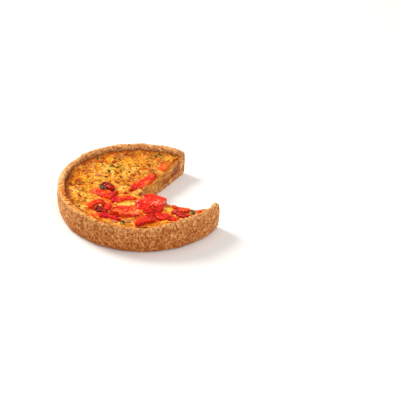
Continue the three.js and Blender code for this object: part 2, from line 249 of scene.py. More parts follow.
def push_out(mesh, amount):
    """Moves each vertex along its normal by amount, in millimetres, and returns the new points."""
    points = points_of(mesh) + read(mesh, "normal") * amount[:, None]
    set_points(mesh, points)
    return points


def new_mesh(name, points, faces):
    mesh = bpy.data.meshes.new(name)
    mesh.from_pydata((points * MM).tolist(), [], faces)
    mesh.update()
    mesh.shade_smooth()
    return mesh


def new_object(name, data):
    thing = bpy.data.objects.new(name, data)
    bpy.context.scene.collection.objects.link(thing)
    return thing


def mark(mesh, **shares):
    """Stores a number for each vertex under each name, for the material to read."""
    for name, values in shares.items():
        attribute = mesh.attributes.new(name, "FLOAT", "POINT")
        attribute.data.foreach_set("value", np.ascontiguousarray(values, np.float32))


def show(mesh, name, material, *stands_for, slot):
    piece = new_object(name, mesh)
    mesh.materials.clear()
    mesh.materials.append(material)
    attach(piece, "root")
    if stands_for:
        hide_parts(*stands_for)
    return piece


def fine_copy(node, voxel_mm, smoothing):
    """The node's solid as an even fine mesh with softened edges."""
    source = new_object("source", NODES[node].data.copy())
    remesh = source.modifiers.new("remesh", "REMESH")
    remesh.mode = "VOXEL"
    remesh.voxel_size = voxel_mm * MM
    smooth = source.modifiers.new("smooth", "SMOOTH")
    smooth.iterations = smoothing
    smooth.factor = 0.5
    graph = bpy.context.evaluated_depsgraph_get()
    mesh = bpy.data.meshes.new_from_object(source.evaluated_get(graph))
    bpy.data.objects.remove(source)
    mesh.shade_smooth()
    return mesh


# Solids swept round the wedge's point


def soft_path(points, spacing):
    """A smooth line through points, in even steps of about spacing."""
    points = np.array(points, float)
    padded = np.vstack([2 * points[0] - points[1], points, 2 * points[-1] - points[-2]])
    line = []
    for a, b, c, d in zip(padded, padded[1:], padded[2:], padded[3:]):
        for t in np.linspace(0, 1, 24, endpoint=False):
            bent = (2 * a - 5 * b + 4 * c - d) * t**2
            twisted = (3 * b - a - 3 * c + d) * t**3
            line.append(0.5 * (2 * b + (c - a) * t + bent + twisted))
    line = np.array(line + [points[-1]])
    length = np.append(0, np.cumsum(np.linalg.norm(np.diff(line, axis=0), axis=1)))
    even = np.linspace(0, length[-1], max(2, int(round(length[-1] / spacing)) + 1))
    return np.stack([np.interp(even, length, line[:, k]) for k in range(line.shape[1])], -1)


def place(headings, distance, height):
    """Points at distances (rows by headings) from the wedge's point, in millimetres."""
    flat = WEDGE_POINT + distance[..., None] * directions(headings)
    return np.concatenate([flat, height[..., None]], -1)


def skin(ids, flip):
    """Faces between rows of numbered points. A face with two corners in one point becomes a triangle."""
    a, b, c, d = ids[:-1, :-1], ids[:-1, 1:], ids[1:, 1:], ids[1:, :-1]
    quads = np.stack([a, d, c, b] if flip else [a, b, c, d], -1)
    return [tuple(dict.fromkeys(quad)) for quad in quads.reshape(-1, 4).tolist()]


def inside(loop, x, y, margin):
    """Whether a place lies inside a closed line and further than margin from it."""
    following = np.roll(loop, -1, axis=0)
    crosses = (loop[:, 1] > y) != (following[:, 1] > y)
    if not crosses.any():
        return False
    a, b = loop[crosses], following[crosses]
    at = a[:, 0] + (y - a[:, 1]) / (b[:, 1] - a[:, 1]) * (b[:, 0] - a[:, 0])
    if np.count_nonzero(at > x) % 2 == 0:
        return False
    return np.min(np.hypot(loop[:, 0] - x, loop[:, 1] - y)) > margin


class Sweep:
    """A closed mesh between an under line and an over line, both from the wedge's point to one shared edge.
    Its first and last sections are the cut faces, filled with triangles about spacing wide."""

    def __init__(self, headings, under, over, spacing):
        self.headings = headings
        rows_under, steps = under.shape[:2]
        rows_over = over.shape[0]
        ids = np.arange((rows_under - 1) * steps).reshape(rows_under - 1, steps) + 2
        self.under_ids = np.vstack([np.zeros((1, steps), int), ids])
        ids = np.arange((rows_over - 2) * steps).reshape(rows_over - 2, steps) + 2 + (rows_under - 1) * steps
        self.over_ids = np.vstack([np.ones((1, steps), int), ids, self.under_ids[-1:]])
        rows = [under[0, :1], over[0, :1], under[1:].reshape(-1, 3), over[1:-1].reshape(-1, 3)]
        self.points = [np.vstack(rows)]
        self.faces = skin(self.under_ids, False) + skin(self.over_ids, True)
        self.cut = np.zeros(len(self.points[0]))
        self._cap(0, spacing, False)
        self._cap(steps - 1, spacing, True)

    def _cap(self, column, spacing, flip):
        loop = list(self.under_ids[:, column]) + list(self.over_ids[-2::-1, column])
        way = directions(self.headings[column : column + 1])[0]
        corner = self.points[0][loop]
        flat = np.stack([(corner[:, :2] - WEDGE_POINT) @ way, corner[:, 2]], -1)
        low, high = flat.min(0), flat.max(0)
        rows = np.arange(low[1] + spacing, high[1], spacing * 0.87)
        inner = []
        for k, z in enumerate(rows):
            for s in np.arange(low[0] + spacing * (1 + 0.5 * (k % 2)), high[0], spacing):
                if inside(flat, s, z, spacing * 0.6):
                    inner.append((s, z))
        given = [Vector(p) for p in flat.tolist() + inner]
        edges = [(i, (i + 1) % len(loop)) for i in range(len(loop))]
        found, _, faces, origins, _, _ = delaunay_2d_cdt(given, edges, [], 1, 1e-6)
        start = len(self.cut)
        names, extra = [], []
        for vertex, origin in zip(found, origins):
            if origin and origin[0] < len(loop):
                names.append(loop[origin[0]])
            else:
                names.append(start + len(extra))
                extra.append([*(WEDGE_POINT + way * vertex[0]), vertex[1]])
        for face in faces:
            corners = [names[i] for i in face]
            if len(set(corners)) == 3:
                self.faces.append(tuple(reversed(corners)) if flip else tuple(corners))
        self.cut[loop] = 1.0
        self.cut = np.append(self.cut, np.ones(len(extra)))
        self.points.append(np.array(extra, float).reshape(-1, 3))

    def mesh(self, name):
        points = np.vstack(self.points)
        return new_mesh(name, points, self.faces), points


# Node trees


class Tree:
    """A material's node tree, built with short calls."""

    def __init__(self, name):
        self.material = bpy.data.materials.new(name)
        self.material.use_nodes = True
        self.nodes = self.material.node_tree.nodes
        self.links = self.material.node_tree.links
        self.shader = self.nodes["Principled BSDF"]
        self.place = self.nodes.new("ShaderNodeTexCoord").outputs["Object"]

    def new(self, kind, **settings):
        node = self.nodes.new("ShaderNode" + kind)
        for name, value in settings.items():
            setattr(node, name, value)
        return node

    def feed(self, socket, value):
        if isinstance(value, bpy.types.NodeSocket):
            self.links.new(value, socket)
        else:
            socket.default_value = value

    def fill(self, node, **values):
        """Feeds a node's inputs, given by their names with _ for each blank."""
        for name, value in values.items():
            self.feed(node.inputs[name.replace("_", " ")], value)
        return node

    def set(self, **values):
        self.fill(self.shader, **values)

    def texture(self, kind, size_mm, vector, **values):
        return self.fill(self.new("Tex" + kind), Vector=vector or self.place, Scale=1000 / size_mm, **values)

    def stretched(self, x, y, z):
        return self.fill(self.new("Mapping"), Scale=(x, y, z), Vector=self.place).outputs["Vector"]

    def wandering(self, size_mm, reach_mm):
        """Places moved about by soft noise, so that a pattern read from them has no straight lines."""
        noise = self.texture("Noise", size_mm, None)
        moved = self.new("VectorMath", operation="MULTIPLY_ADD")
        self.feed(moved.inputs[0], noise.outputs["Color"])
        self.feed(moved.inputs[1], (reach_mm * MM,) * 3)
        self.feed(moved.inputs[2], self.place)
        return moved.outputs[0]

    def noise(self, size_mm, detail=3.0, roughness=0.55, distortion=0.0, vector=None):
        settings = {"Detail": detail, "Roughness": roughness, "Distortion": distortion}
        return self.texture("Noise", size_mm, vector, **settings).outputs["Fac"]

    def patches(self, size_mm, low, high, to_low=0.0, to_high=1.0, **kind):
        """to_high where noise of this size is above high, to_low where it is below low."""
        return self.between(self.noise(size_mm, **kind), low, high, to_low, to_high)

    def cracks(self, size_mm, vector, width, most):
        """most on thin lines between cells, falling to 0 at their width."""
        node = self.texture("Voronoi", size_mm, vector)
        node.feature = "DISTANCE_TO_EDGE"
        return self.between(node.outputs["Distance"], 0.0, width, most, 0)

    def cell_values(self, size_mm, vector):
        """A different number in 0..1 for each small cell of a crowd."""
        return self.product(self.texture("Voronoi", size_mm, vector).outputs["Color"], 1.0)

    def specks(self, size_mm, radius, low, vector):
        """1 on round specks in those cells whose number is above low, 0 elsewhere."""
        away = self.texture("Voronoi", size_mm, vector).outputs["Distance"]
        near = self.between(away, 0.5 * radius, radius, 1, 0)
        return self.product(near, self.between(self.cell_values(size_mm, vector), low, low + 0.03))

    def mask(self, name):
        return self.new("Attribute", attribute_name=name).outputs["Fac"]

    def between(self, value, low, high, to_low=0.0, to_high=1.0):
        node = self.new("MapRange", interpolation_type="SMOOTHSTEP")
        self.fill(node, Value=value, From_Min=low, From_Max=high, To_Min=to_low, To_Max=to_high)
        return node.outputs["Result"]

    def math(self, operation, first, second):
        node = self.new("Math", operation=operation)
        self.feed(node.inputs[0], first)
        self.feed(node.inputs[1], second)
        return node.outputs[0]

    def product(self, first, *others):
        for other in others:
            first = self.math("MULTIPLY", first, other)
        return first

    def blend(self, *parts):
        """The sum of values that are each given with a weight."""
        total = None
        for value, weight in parts:
            part = self.product(value, weight)
            total = part if total is None else self.math("ADD", total, part)
        return total

    def ramp(self, value, *stops):
        """Colours by value. Each stop is a place and a colour as red, green and blue of 255."""
        node = self.fill(self.new("ValToRGB"), Fac=value)
        elements = node.color_ramp.elements
        while len(elements) < len(stops):
            elements.new(0.5)
        for element, (position, colour) in zip(elements, stops):
            element.position = position
            element.color = shade(*colour)
        return node.outputs["Color"]

    def mix(self, share, first, second, blend="MIX"):
        node = self.fill(self.new("Mix", data_type="RGBA", blend_type=blend), Factor=share)
        self.feed(node.inputs[6], first)
        self.feed(node.inputs[7], second)
        return node.outputs[2]

    def paint(self, under, *layers, blend="MIX"):
        """Lays colours of 255ths over another one by one, each by the product of the shares after it."""
        for over, *shares in layers:
            under = self.mix(self.product(*shares), under, shade(*over), blend)
        return under

    def bump(self, height, depth_mm, strength):
        node = self.fill(self.new("Bump"), Strength=strength, Distance=depth_mm * MM, Height=height)
        self.set(Normal=node.outputs["Normal"])


def shade(red, green, blue):
    """A colour given in 255ths, as the shader takes it."""
    linear = [(c / 255 / 12.92) if c < 11 else ((c / 255 + 0.055) / 1.055) ** 2.4 for c in (red, green, blue)]
    return (*linear, 1.0)


def crust_material():
    tree = Tree("crust_pastry")
    mask, patches = tree.mask, tree.patches
    upright = tree.stretched(1, 1, 0.6)
    fine = tree.noise(1.8, detail=4, roughness=0.68, vector=upright)
    colour = tree.ramp(
        tree.blend((fine, 0.68), (mask("crumb"), 0.14), (tree.cell_values(1.1, upright), 0.18)),
        (0.38, (144, 74, 32)), (0.45, (200, 121, 62)), (0.52, (228, 157, 94)), (0.62, (254, 206, 140)),
    )
    colour = tree.paint(
        colour,
        ((196, 112, 48), patches(11, 0.42, 0.66, 0, 0.45)),
        ((250, 200, 132), patches(1.1, 0.62, 0.7, 0, 0.55, vector=upright)),
    )
    # The browning multiplied over the outside's front and back, stronger lower down, is painted shade as well
    # as browning.
    browned = (208, 166, 124), mask("browned"), patches(3.4, 0.3, 0.62, 0.3, 0.88, detail=4)
    colour = tree.paint(colour, browned, blend="MULTIPLY")
    colour = tree.paint(
        colour,
        ((112, 44, 14), tree.specks(1.9, 0.48, 0.7, tree.wandering(1.2, 1.0)), 0.85),
        ((146, 70, 30), tree.specks(1.4, 0.44, 0.58, tree.wandering(1.2, 1.0)), 0.85),
        ((250, 197, 132), mask("crest"), patches(1.7, 0.38, 0.62, 0.1, 0.85, detail=4)),
        # Darker band where the rim meets the filling: baked colour and painted shade in that corner.
        ((162, 74, 20), mask("baked"), patches(2.6, 0.38, 0.6, 0.1, 0.75, detail=4)),
    )
    filling = tree.ramp(
        tree.noise(3.4, detail=4), (0.36, (166, 70, 16)), (0.5, (220, 128, 48)), (0.62, (246, 176, 84))
    )
    colour = tree.mix(mask("stained"), colour, filling)
    tree.set(Base_Color=colour, Roughness=0.88, Specular_IOR_Level=0.1)
    tree.bump(tree.blend((fine, 1.0), (tree.noise(0.6, detail=2), 0.4)), 0.6, 0.9)
    return tree.material


def custard_top(tree, fine):
    """Colours of the baked top: melted cheese, toasting with painted shade, painted shade in pits, painted
    light on shaded lumps, creases, specks and tomato juice.
    """
    mask, patches, specks = tree.mask, tree.patches, tree.specks
    broad = tree.noise(7.5, detail=4, distortion=1.2)
    top = tree.ramp(
        # The relief share makes raised strands and lumps lighter and pits darker: painted shade.
        tree.blend((fine, 0.42), (mask("lump"), 0.28), (broad, 0.36)),
        (0.42, (138, 60, 4)), (0.48, (194, 98, 8)), (0.53, (222, 132, 18)), (0.59, (244, 166, 34)),
        (0.66, (255, 212, 106)),
    )
    blur = patches(2.4, 0.36, 0.6, detail=4)
    creases = tree.cracks(6, tree.wandering(2.4, 5), 0.1, 0.75)
    hairs = tree.cracks(2.8, tree.wandering(1.6, 4), 0.12, 0.6)
    scattered = tree.wandering(1.6, 1.6)
    unless_yellow = tree.between(mask("yellow"), 0.0, 0.6, 1, 0.1)
    return tree.paint(
        top,
        # Toasting and painted shade, laid by the rim and on the back half.
        ((184, 86, 6), mask("toasted"), patches(6.5, 0.36, 0.6, 0.3, 0.95, detail=4)),
        ((255, 190, 40), mask("yellow"), blur, 0.8),
        ((226, 156, 84), mask("cream"), blur, 0.7),
        ((124, 124, 34), mask("olive"), blur, 0.9),
        ((140, 44, 8), mask("russet"), blur, 0.95),
        ((228, 154, 58), mask("centre"), patches(7, 0.5, 0.64, 0, 0.55, detail=4)),
        ((146, 58, 8), patches(4.5, 0.57, 0.66, 0, 0.65, detail=4, roughness=0.7)),
        ((146, 66, 8), creases, patches(6, 0.44, 0.58)),
        ((128, 60, 8), hairs, patches(4, 0.5, 0.62)),
        ((150, 116, 26), patches(5.5, 0.6, 0.7, 0, 0.5, vector=tree.stretched(1, 1.3, 1))),
        ((150, 44, 8), specks(3.4, 0.3, 0.62, scattered), 0.8),
        ((92, 74, 14), specks(2.9, 0.26, 0.66, scattered), 0.8),
        ((252, 196, 92), specks(3.1, 0.3, 0.6, scattered), 0.8),
        ((222, 72, 16), mask("juice"), patches(3.6, 0.4, 0.54, 0, 0.9), unless_yellow),
        # Lighter yellow patches: pale custard and painted light over lumps in shade.
        ((255, 204, 92), mask("bright_and_painted_light"), patches(2.0, 0.34, 0.5, 0.45, 0.95)),
        # Brown band by the rim: browning and a painted shadow of the rim, widest on the left.
        ((140, 62, 8), mask("rim"), patches(3.4, 0.28, 0.55, 0.55, 1.0)),
    )


def custard_inside(tree):
    """Colours of the cut: set custard over crumbly brown filling, with herbs."""
    along = tree.stretched(1, 0.42, 1)
    crumb = tree.noise(1.6, detail=4, vector=along)
    lumps = tree.noise(4, detail=4, vector=along)
    inner = tree.ramp(
        tree.blend((crumb, 0.4), (lumps, 0.6)),
        (0.38, (162, 80, 12)), (0.48, (214, 134, 44)), (0.58, (236, 176, 80)),
    )
    crumbly = tree.ramp(
        tree.blend((crumb, 0.6), (tree.cell_values(1.4, along), 0.4)),
        (0.36, (104, 44, 8)), (0.5, (166, 82, 22)), (0.64, (204, 118, 40)),
    )
    inner = tree.mix(tree.mask("low"), inner, crumbly)
    return tree.paint(
        inner,
        ((188, 100, 34), tree.patches(3.6, 0.56, 0.64, 0, 0.7, detail=2, vector=along)),
        ((104, 84, 22), tree.patches(2.6, 0.6, 0.66, 0, 0.85, vector=along)),
    )


def custard_material():
    tree = Tree("custard_baked")
    fine = tree.noise(1.9, detail=5, roughness=0.62, distortion=0.5)
    tree.set(
        Base_Color=tree.mix(tree.mask("cut"), custard_top(tree, fine), custard_inside(tree)),
        Roughness=tree.between(fine, 0.3, 0.7, 0.55, 0.35),
        Subsurface_Weight=0.1,
        Subsurface_Radius=(0.9, 0.45, 0.2),
        Subsurface_Scale=0.002,
        Specular_IOR_Level=0.08,
        Coat_Weight=tree.between(tree.mask("rim"), 0.0, 0.4, 0.12, 0.0),
        Coat_Roughness=0.22,
    )
    tree.bump(tree.blend((fine, 1.0), (tree.noise(0.6, detail=2), 0.3)), 0.3, 0.7)
    return tree.material


def tomato_material(name, deep, middle, light, gloss, coat=0.22):
    tree = Tree(name)
    flesh = tree.noise(3.0, detail=5, roughness=0.6, distortion=0.8)
    # Random tone with the fold share: creases darker and lumps and ridges lighter, as painted shade.
    tone_and_crease_shade = tree.blend((flesh, 0.6), (tree.mask("fold"), 0.4))
    colour = tree.ramp(tone_and_crease_shade, (0.34, deep), (0.48, middle), (0.62, light))
    streaks_and_glints = tree.patches(1.5, 0.52, 0.58, detail=2, vector=tree.stretched(1, 0.3, 1))
    colour = tree.paint(
        colour,
        (deep, tree.patches(3.6, 0.56, 0.66, 0, 0.6)),
        # Steep sides darkened towards the deep colour: painted shade.
        (deep, tree.mask("side"), 0.3),
        # Paler streaks on chosen sides: paler flesh on some pieces, and painted highlights on the square and
        # the fold.
        ((255, 168, 128), streaks_and_glints, tree.between(tree.mask("pale"), 0, 1, 0.12, 0.9)),
        # Charring laid on chosen sides: charring, and painted shade on sides away from the lights and under
        # other pieces.
        ((150, 6, 3), tree.mask("charred_and_shaded"), tree.patches(2.6, 0.34, 0.56, 0.55, 1)),
        ((206, 10, 34), tree.mask("pink")),
        ((52, 16, 8), tree.mask("burnt")),
    )
    tree.set(
        Base_Color=colour,
        Roughness=tree.patches(1.4, 0.3, 0.7, gloss + 0.25, gloss + 0.1),
        Specular_IOR_Level=0.06,
        Coat_Weight=tree.between(tree.mask("side"), 0.0, 1.0, coat, 0.25 * coat),
        Coat_Roughness=gloss - 0.08,
        Subsurface_Weight=0.12,
        Subsurface_Radius=(1.0, 0.2, 0.08),
        Subsurface_Scale=0.002,
    )
    tree.bump(tree.noise(1.5), 0.3, 0.7)
    return tree.material


def leaf_material():
    tree = Tree("leaf_baked")
    tone_and_glints = tree.noise(1.8, detail=4)
    # Dark leaf with light specks that are partly pale bits and partly painted highlights.
    colour = tree.ramp(tone_and_glints, (0.42, (18, 16, 3)), (0.52, (62, 56, 12)), (0.6, (206, 192, 130)))
    tree.set(Base_Color=colour, Roughness=0.5, Specular_IOR_Level=0.15)
    tree.bump(tree.noise(0.6), 0.2, 0.7)
    return tree.material


def plain_material(name, dark, light, size_mm, rough):
    tree = Tree(name)
    colour = tree.ramp(tree.noise(size_mm), (0.3, dark), (0.7, light))
    tree.set(Base_Color=colour, Roughness=rough, Specular_IOR_Level=0.12)
    tree.bump(tree.noise(size_mm / 2, detail=2), 0.15, 0.5)
    return tree.material


# Crust

# Lines of the section: insets from the outside and heights, in millimetres
FOOT_INSET = 3.2
BED_INSET = RIM_WIDTH + 4.8
OUTER_WALL = [
    (FOOT_INSET, 0), (1.7, 0.7), (0.9, 2.6), (0.5, 5.5), (0.2, 9), (0, 12.5), (0, 16.3), (0.1, 19.7),
    (0.6, 22.3), (1.6, 23.8), (2.9, RIM_HEIGHT),
]
BED_WALL = [
    (RIM_WIDTH + 2.4, BASE_THICKNESS + 1.6), (RIM_WIDTH + 1.1, BASE_THICKNESS + 6), (RIM_WIDTH + 0.5, 16.2),
]
LIP = [
    BED_WALL[-1], (RIM_WIDTH + 0.2, 19.6), (RIM_WIDTH - 0.1, 21.6), (RIM_WIDTH - 0.9, 23.2),
    (RIM_WIDTH - 2.2, 24.1), OUTER_WALL[-1],
]
FLOOR_SHARES = (0, 0.25, 0.5, 0.75)

# Heights in millimetres: the wall is drawn out to its true height above the first, and filling hides its
# inside up to the second
RAISED_ABOVE = 8.0
FILLED_TO = 19.5

# Sizes of the pastry's crumbs and clods along each axis, in millimetres
CRUMB_SIZE = (2.3, 2.3, 3.2)
SMALL_CRUMB_SIZE = (1.2, 1.2, 1.7)
CLOD_SIZE = (2.6, 2.6, 2.4)
CRAG_SIZE = (5.5, 5.5, 9)
CREST_LUMP_SIZE = 5.5

# Headings in degrees: the front and back of the ring as the photograph shows them, and its pale left side
FRONT_SIDE = 270
BACK_SIDE = 90
# The crest's floury colour is laid on more strongly towards this heading, as painted light.
LEFT_SIDE = 222

# Where filling has baked over the rim: heading, cosines between which it fades, and the inset where it starts
STAINS = ((252, 0.5, 0.85, 1.4), (305, 0.75, 0.95, 3.4))


def crust_rows(path, reach, height):
    """Distances and heights for rows of (share, inset, height), with the rim raised to its true height."""
    path = np.asarray(path)
    lifted = path[:, 2:3] + (height - RIM_HEIGHT)[None, :] * ease(path[:, 2:3], RAISED_ABOVE, RIM_HEIGHT)
    return path[:, 0:1] * reach[None, :] - path[:, 1:2], lifted


def crust_sweep(headings, reach, height):
    """The crust with clean faces: foot and outside from below, floor and inside from above."""
    outer = np.insert(soft_path(OUTER_WALL, 0.42), 0, 1, axis=1)
    under = np.vstack([[(share, share * FOOT_INSET, 0) for share in (*FLOOR_SHARES, 1)], outer[1:]])
    bed = soft_path([(BED_INSET, BASE_THICKNESS), *BED_WALL], 1.6)
    inner = np.insert(np.vstack([bed, soft_path(LIP, 0.45)[1:]]), 0, 1, axis=1)
    over = np.vstack([[(share, share * BED_INSET, BASE_THICKNESS) for share in FLOOR_SHARES], inner])
    lines = [place(headings, *crust_rows(path, reach, height)) for path in (under, over)]
    return Sweep(headings, *lines, CRUST_CUT_STEP)


def mark_crust(mesh, points, heading_at, inset, rim, crest, cut):
    """Marks where the crust is floury, more so on the left as painted light; dark by the filling as baked
    colour and painted shade; browned and darkened with painted shade on the outside facing and opposite the
    view; or stained by filling.
    """
    up = points[:, 2]
    exposed = ease(inset, 3.2, 4.6) * ease(up, 19.0, 20.0)
    # baked: a darker band low on the rim's inside where it meets the filling, baked colour and painted shade
    # in that corner, weaker towards the back
    baked = ease(inset, RIM_WIDTH - 3.0, RIM_WIDTH - 0.8) * ease(rim - 0.6 - up, 0, 2.2)
    baked *= 1 - 0.8 * ease(points[:, 1], 0, 40)
    # front and back pick the outside facing the view and the side opposite it, where browning with painted
    # shade is laid
    front = facing(heading_at - PHOTO_AZIMUTH, FRONT_SIDE, 0.2, 1.0)
    back = 0.45 * facing(heading_at - PHOTO_AZIMUTH, BACK_SIDE, -0.1, 0.6)
    # left is the side nearer the key light; the crest's floury colour is raised there as painted light
    left = facing(heading_at, LEFT_SIDE, 0.5, 0.95)
    ragged = inset + 0.6 * smooth_noise(points, 3.0, 37)
    stained = np.zeros(len(points))
    for heading, faint, full, start in STAINS:
        stain = facing(heading_at, heading, faint, full) * ease(ragged, start, start + 0.8)
        stained = np.maximum(stained, stain)
    outside = 1 - ease(inset, 2.0, 4.0)
    low_down = 0.6 + 0.4 * ease(18 - up, 0, 14)
    mark(
        mesh,
        baked=baked * (1 - 0.6 * cut),
        # crest: floury colour, raised on the left as painted light and weaker on the front facing the view as
        # painted shade
        crest=np.maximum(crest, 0.5 * exposed) * (1 - 0.45 * front) * (0.4 + 1.2 * left),
        stained=stained * ease(up, 16.0, 18.0) * (1 - cut),
        browned=outside * np.maximum(front, back) * low_down * (1 - 0.6 * crest),
    )


def build_crust():
    headings = np.linspace(BACK_CUT, FRONT_CUT, CRUST_STEPS)
    reach, height = crust_outline(headings)
    sweep = crust_sweep(headings, reach, height)
    mesh, points = sweep.mesh("crust")
    heading_at, up = heading_of(points), points[:, 2]
    inset = np.interp(heading_at, headings, reach) - distance_of(points)
    rim = np.interp(heading_at, headings, height)
    hidden = (inset > RIM_WIDTH - 0.6) & (up < FILLED_TO) & (up > 1) & (sweep.cut < 0.5)
    shown = np.where(hidden, 0, ease(up, 0.2, 2.2))
    crumbs = 0.55 - grains(points, CRUMB_SIZE, 3)
    small = 0.5 - grains(points, SMALL_CRUMB_SIZE, 9)
    crags = rough_noise(points, CRAG_SIZE, 21)
    clods = 0.6 - grains(points + 0.8 * crags[:, None], CLOD_SIZE, 27)
    crest = ease(up, rim - 3.2, rim - 0.6)
    amount = (0.42 + 0.3 * crest) * crumbs + (0.28 + 0.4 * crest) * small + 0.4 * crags
    amount += crest * (1.15 * clods + 1.2 * rough_noise(points, CREST_LUMP_SIZE, 31) - 0.1)
    points = push_out(mesh, amount * shown)
    mark(mesh, crumb=np.clip(0.5 + 0.75 * crumbs + 0.5 * small, 0, 1))
    mark_crust(mesh, points, heading_at, inset, rim, crest, sweep.cut)
    show(mesh, "crust_pastry", crust_material(), "crust", slot="crust")
    return headings, reach


# Custard

# Patches of colour seen in the photograph on the custard's top: x, y and radius in millimetres
SEEN_PATCHES = {
    "yellow": [
        (-51, -11, 3.8), (-42, -20, 3.2), (-52, 15, 3.2), (-34, 35, 4.2), (-26, 14, 3.2), (-40, -31, 3.2),
        (5, -2, 3.2), (-3, -6, 3.2), (-3, 57, 3.2), (-34, -34, 3.2), (-49, 27, 3.2), (-40, -12, 2.6),
        (-37, 22, 3.2), (-4, -28.5, 3), (0, -25, 3), (3.5, -22.5, 2.6), (19.5, -31.5, 2), (44, -37.5, 2.4),
        (-1, -3.5, 3), (35, -17, 2.4), (37.5, -13.5, 2.4), (-15, -44, 1.6),
    ],
    "cream": [
        (-45, 1, 3.4), (-49, -30, 2.5), (-56, -1, 2.1), (-33, 7, 2.6), (-30, 20, 3.2), (-18, 35, 2.1),
        (-57, 9, 2.5), (-25, 48, 3.2), (-27, -20, 2.1), (-37, -12, 2.1), (-21, -4, 2.6), (-33, -40, 2.5),
        (7.4, -51, 2.8), (11, -48, 2.8), (16, -46.5, 2.6), (16, -52, 2.8), (2, -52, 2.4),
    ],
    # Lighter yellow on lumps: pale custard, and painted light over lumps that lie in shade.
    "bright_and_painted_light": [
        (-7.1, -31.2, 2.2), (-3, -29, 2.6), (1, -26, 2.6), (4.6, -22.5, 2.4), (-0.5, -8.5, 3),
        (1.6, -6, 2.6), (1.5, -1.5, 2.2), (33.7, -15, 2.8), (38, -18.5, 2.4), (18, -32, 1.8),
        (42, -36, 1.8),
    ],
    "olive": [
        (-41, 9, 2.7), (-44, 20, 2.5), (-59, 21, 1.7), (-47, -12, 2.1), (-24, 33, 1.7), (-18, 55, 2.5),
        (-10, 55, 2.5), (-49, -18, 1.6), (-32, -28, 1.7), (-36, 48, 2.3), (-44, 36, 1.7), (-22, 58, 2.1),
        (-7, -32, 1.8), (-37, 22.5, 2.2), (-33.5, 18, 2.2), (-30.5, 22, 1.8),
    ],
    "russet": [
        (-55, 25, 1.6), (-44, 27, 2.1), (-41, 41, 2.5), (-36, 44, 2.3), (-53, 19, 1.9), (-51, -22, 1.9),
        (-49, -29, 1.9), (-19, 18, 1.5), (-27, 2, 2.5), (-41, -37, 2.5), (-9, -7, 2.1), (-55, -16, 1.6),
        (-41, -13, 1.7), (-40, 2, 1.6), (-34, 13, 1.9), (-20, 24, 2.5), (-49, 15, 2.1), (-13, 16, 1.3),
        (-58, -1, 1.7), (2, 55, 1.3), (-16, 50, 2.1), (-8, 33, 1.9), (-56, -28, 1.7), (-39, -50, 1.7),
        (-53, -38, 2.7), (-59, -29, 2.5), (-61, -17, 2.3), (-64, -3, 2.5), (-64, 8, 2.7), (-46, -46, 2.1),
    ],
}

# The cut shows crumbly brown filling below a line that climbs from the point to the rim, in millimetres
CRUMBLY_AWAY = (33, 38, 42, 54, 60, 72)
CRUMBLY_HEIGHT = (0, 4, 11, 10, 14, 17)
CUT_EDGE_RADIUS = 2.2

# Strands of melted cheese: how many, and in millimetres how far out they lie and the ranges of their length,
# radius and bend
STRANDS = 360
STRAND_REACH = 66
STRAND_LENGTH = (3.0, 9.0)
STRAND_RADIUS = (0.55, 1.15)
STRAND_BEND = (-0.9, 0.9)

# Sizes of the top's lumps, pits and swells, and of the holes in the cut, in millimetres
BLOB_SIZE = 5.2
PIT_SIZE = 3.4
SWELL_SIZE = 11
HOLE_SIZE = (2.3, 4.2, 2.0)
HOLLOW_SIZE = (4.5, 10, 4)

# In millimetres: a distance that stands for no neighbour, and where a tomato piece's juice fades and ends
FAR_AWAY = 99.0
TOMATO_BAND = (1.0, 4.5)


def patch_share(points, patches):
    """1 in the middle of any patch, falling to 0 past its uneven edge."""
    flat = points[:, :2] + 1.3 * noise_moves(points, 3.5, 70, axes=2)
    share = np.zeros(len(points))
    for x, y, radius in patches:
        away = np.hypot(flat[:, 0] - x, flat[:, 1] - y)
        share = np.maximum(share, 1 - ease(away, 0.5 * radius, 1.4 * radius))
    return share


def tomato_nodes():
    return sorted(name for name in NODES if name.startswith("tomato"))


def near_tomatoes(points):
    """1 beside a tomato piece, falling to 0 a few millimetres away."""
    closest = np.full(len(points), FAR_AWAY)
    for name in tomato_nodes():
        corners = points_of(NODES[name].data)[:, :2]
        low, high = corners.min(0) - 4, corners.max(0) + 4
        rows = np.flatnonzero(np.all((points[:, :2] > low) & (points[:, :2] < high), axis=1))
        for start in range(0, len(rows), 4000):
            some = rows[start : start + 4000]
            gaps = np.linalg.norm(points[some, :2][:, None] - corners, axis=-1).min(1)
            closest[some] = np.minimum(closest[some], gaps)
    return 1 - ease(closest, *TOMATO_BAND)


def melted_shreds(points, count, seed):
    """Height of crossing strands of melted cheese in millimetres, at points on the custard's top."""
    dice = np.random.default_rng(seed)
    height = np.zeros(len(points))
    for _ in range(count):
        angle = dice.uniform(0, 2 * np.pi)
        middle = STRAND_REACH * np.sqrt(dice.uniform()) * np.array([np.cos(angle), np.sin(angle)])
        turned, bend = dice.uniform(0, np.pi), dice.uniform(*STRAND_BEND)
        length, radius = dice.uniform(*STRAND_LENGTH), dice.uniform(*STRAND_RADIUS)
        t = np.linspace(-0.5, 0.5, 6)
        ahead, aside = length * t, bend * length * (t * t - 0.08)
        x = ahead * np.cos(turned) - aside * np.sin(turned)
        y = ahead * np.sin(turned) + aside * np.cos(turned)
        line = middle + np.stack([x, y], -1)
        near = np.flatnonzero(np.all(np.abs(points[:, :2] - middle) < length / 2 + 2, axis=1))
        if len(near) == 0:
            continue
        spots = points[near, :2]
        away = np.full(len(near), FAR_AWAY)
        for a, b in zip(line, line[1:]):
            along = np.clip((spots - a) @ (b - a) / ((b - a) @ (b - a)), 0, 1)
            away = np.minimum(away, np.linalg.norm(spots - a - along[:, None] * (b - a), axis=1))
        strand = np.sqrt(np.clip(radius**2 - away**2, 0, None)) * dice.uniform(0.7, 1.15)
        height[near] = np.maximum(height[near], strand)
    return height


